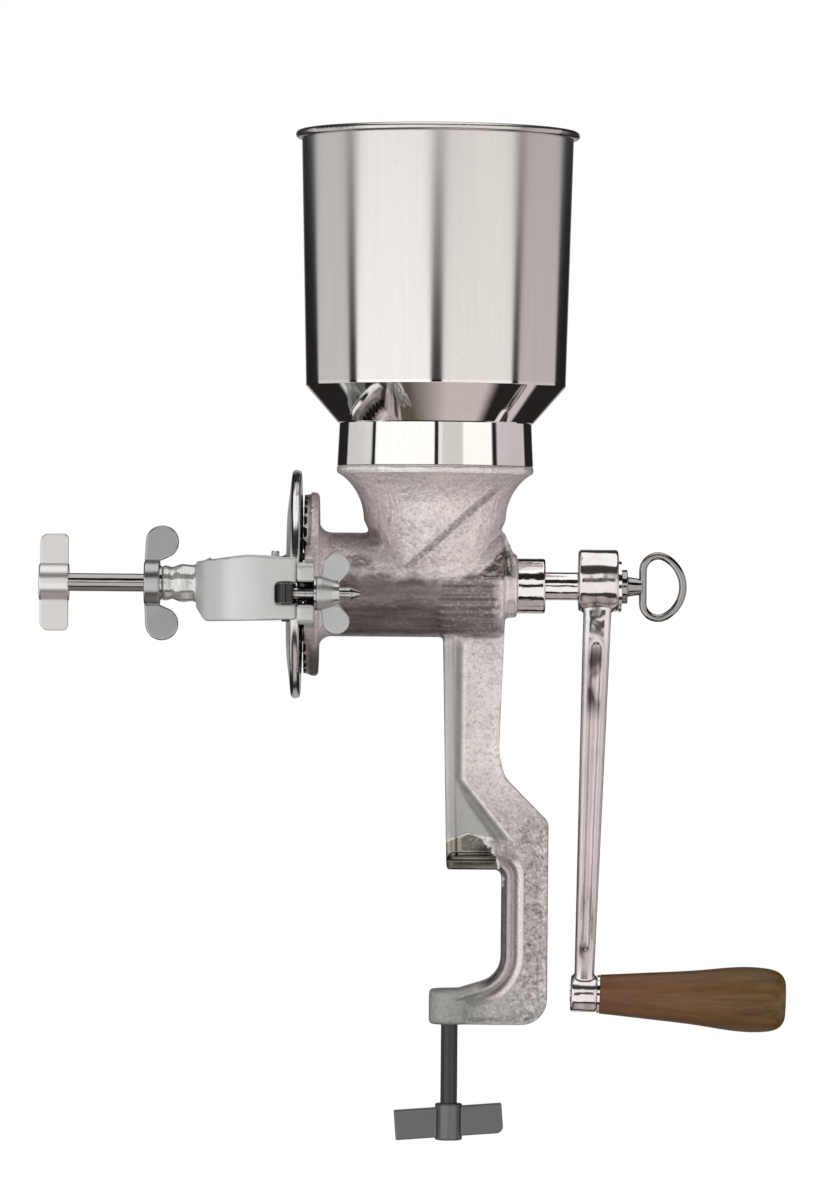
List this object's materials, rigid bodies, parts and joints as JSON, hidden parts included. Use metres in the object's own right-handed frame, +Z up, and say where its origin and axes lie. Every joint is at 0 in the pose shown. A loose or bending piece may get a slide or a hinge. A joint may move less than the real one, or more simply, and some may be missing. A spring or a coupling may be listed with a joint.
{
  "type": "hand crank grain grinder",
  "caption": "Table-clamp hand mill for nuts and grain: tall hopper, feed worm, toothed plates under a yoke with adjusting screw, and a crank with a wooden grip.",
  "frame": {"origin": "centre of the clamp's upper jaw face, where the mill bears on a table top", "axes": "+X along the shaft towards the crank, +Y away from the viewer of the picture, +Z up"},
  "size_m": [0.3749, 0.145, 0.5043],
  "materials": {
    "tinned_casting": "hot-tinned sand casting, dull silver with a fine grain",
    "crank_casting": "tinned casting, polished bright",
    "yoke_casting": "tinned casting, smooth pale grey",
    "carrier_casting": "tinned casting, bright rim",
    "plate_iron": "ground iron teeth",
    "bright_sheet": "mirror-bright tinned sheet",
    "bright_steel": "polished plated steel",
    "fastener_steel": "plated steel",
    "zinc_nut": "satin zinc-plated steel",
    "dark_steel": "dark oiled steel",
    "grip_wood": "stained and varnished turned wood"
  },
  "bodies": {
    "frame": {"mill_body": "tinned_casting", "rear_bearing_bush": "bright_steel", "fixed_plate": "plate_iron", "fixed_plate_screws": "fastener_steel", "yoke": "yoke_casting", "swing_bolt_front": "fastener_steel", "swing_bolt_back": "fastener_steel", "swing_pin_front": "fastener_steel", "swing_pin_back": "fastener_steel"},
    "hopper": {"hopper_wall": "bright_sheet", "hopper_rim_wire": "bright_sheet", "hopper_cone": "bright_sheet", "hopper_collar": "bright_sheet"},
    "ball": {"thrust_ball": "bright_steel"},
    "rotor": {"feed_screw": "tinned_casting", "plate_carrier": "carrier_casting", "carrier_pin": "fastener_steel", "rotating_plate": "plate_iron", "rotating_plate_screws": "fastener_steel", "crank_arm": "crank_casting", "handle_axle": "bright_steel", "handle_washer": "bright_steel"},
    "grip": {"handle_grip": "grip_wood"},
    "adjuster": {"adjusting_screw": "bright_steel", "adjusting_handle": "zinc_nut"},
    "lock_seat": {"lock_washer": "fastener_steel"},
    "lock_nut": {"lock_wing_nut": "zinc_nut"},
    "nut_seat_front": {"yoke_washer_front": "fastener_steel"},
    "nut_front": {"wing_nut_front": "zinc_nut"},
    "nut_seat_back": {"yoke_washer_back": "fastener_steel"},
    "nut_back": {"wing_nut_back": "zinc_nut"},
    "ring_seat": {"crank_washer": "bright_steel"},
    "ring_screw": {"crank_ring_screw": "bright_steel"},
    "clamp_button": {"clamp_tip": "dark_steel"},
    "clamp_spindle": {"clamp_screw": "dark_steel", "clamp_handle": "zinc_nut"}
  },
  "joints": [
    {"name": "hopper_lift", "type": "slide", "parent": "frame", "child": "hopper", "axis": [0, 0, 1], "range_m": [0, 0.04]},
    {"name": "grind_gap", "type": "slide", "parent": "frame", "child": "ball", "axis": [1, 0, 0], "range_m": [-0.0015, 0.0009]},
    {"name": "adjusting_screw_turn", "type": "hinge", "parent": "ball", "child": "adjuster", "pos_m": [0, 0, 0.1415], "axis": [1, 0, 0], "range_deg": [-361, 217]},
    {"name": "crank_turn", "type": "hinge", "parent": "ball", "child": "rotor", "pos_m": [0, 0, 0.1415], "axis": [1, 0, 0], "continuous": true},
    {"name": "grip_spin", "type": "hinge", "parent": "rotor", "child": "grip", "pos_m": [0.055, 0, -0.062], "axis": [0.9996, 0, -0.0279], "continuous": true},
    {"name": "lock_nut_travel", "type": "slide", "parent": "frame", "child": "lock_seat", "axis": [-1, 0, 0], "range_m": [0, 0.006]},
    {"name": "lock_nut_turn", "type": "hinge", "parent": "lock_seat", "child": "lock_nut", "pos_m": [0, 0, 0.1415], "axis": [-1, 0, 0], "range_deg": [0, 1441]},
    {"name": "wing_nut_front_travel", "type": "slide", "parent": "frame", "child": "nut_seat_front", "axis": [1, 0, 0], "range_m": [0, 0.005]},
    {"name": "wing_nut_front_turn", "type": "hinge", "parent": "nut_seat_front", "child": "nut_front", "pos_m": [0, -0.064, 0.1368], "axis": [1, 0, 0], "range_deg": [0, 1441]},
    {"name": "wing_nut_back_travel", "type": "slide", "parent": "frame", "child": "nut_seat_back", "axis": [1, 0, 0], "range_m": [0, 0.005]},
    {"name": "wing_nut_back_turn", "type": "hinge", "parent": "nut_seat_back", "child": "nut_back", "pos_m": [0, 0.064, 0.1368], "axis": [1, 0, 0], "range_deg": [0, 1441]},
    {"name": "ring_screw_travel", "type": "slide", "parent": "rotor", "child": "ring_seat", "axis": [1, 0, 0], "range_m": [0, 0.005]},
    {"name": "ring_screw_turn", "type": "hinge", "parent": "ring_seat", "child": "ring_screw", "pos_m": [0, 0, 0.1415], "axis": [1, 0, 0], "range_deg": [0, 1441]},
    {"name": "clamp_travel", "type": "slide", "parent": "frame", "child": "clamp_button", "axis": [0, 0, 1], "range_m": [0, 0.038]},
    {"name": "clamp_screw_turn", "type": "hinge", "parent": "clamp_button", "child": "clamp_spindle", "pos_m": [-0.012, 0, 0], "axis": [0, 0, 1], "range_deg": [0, 6841]}
  ],
  "couplings": [
    {"joint": "adjusting_screw_turn", "follows": "grind_gap", "rad_per_m": 4188.8},
    {"joint": "lock_nut_turn", "follows": "lock_nut_travel", "rad_per_m": 4188.8},
    {"joint": "wing_nut_front_turn", "follows": "wing_nut_front_travel", "rad_per_m": 5026.5},
    {"joint": "wing_nut_back_turn", "follows": "wing_nut_back_travel", "rad_per_m": 5026.5},
    {"joint": "ring_screw_turn", "follows": "ring_screw_travel", "rad_per_m": 5026.5},
    {"joint": "clamp_screw_turn", "follows": "clamp_travel", "rad_per_m": 3141.6}
  ]
}
